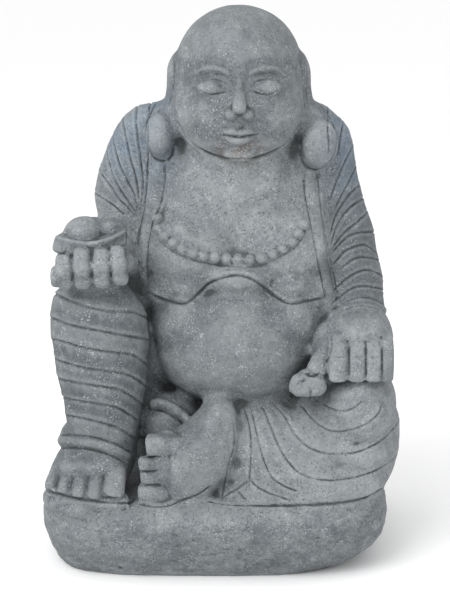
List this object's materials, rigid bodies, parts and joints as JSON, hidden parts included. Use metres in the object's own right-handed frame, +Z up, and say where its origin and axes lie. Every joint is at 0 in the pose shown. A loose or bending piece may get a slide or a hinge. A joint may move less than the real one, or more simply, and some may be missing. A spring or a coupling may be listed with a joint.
{
  "type": "laughing buddha statue",
  "caption": "Seated round-bellied buddha in a loose robe with one knee raised, carved in granite with its low rough base.",
  "frame": {"origin": "middle of the base's flat underside, on the ground", "axes": "+Z up, the figure faces -Y, +X to the right of a viewer in front of it"},
  "size_m": [0.5341, 0.4276, 0.7997],
  "materials": {
    "granite": "rough tooled grey granite with pale and dark grain, weathered darker in its hollows"
  },
  "bodies": {
    "root": {"laughing_buddha": "granite"}
  },
  "joints": []
}
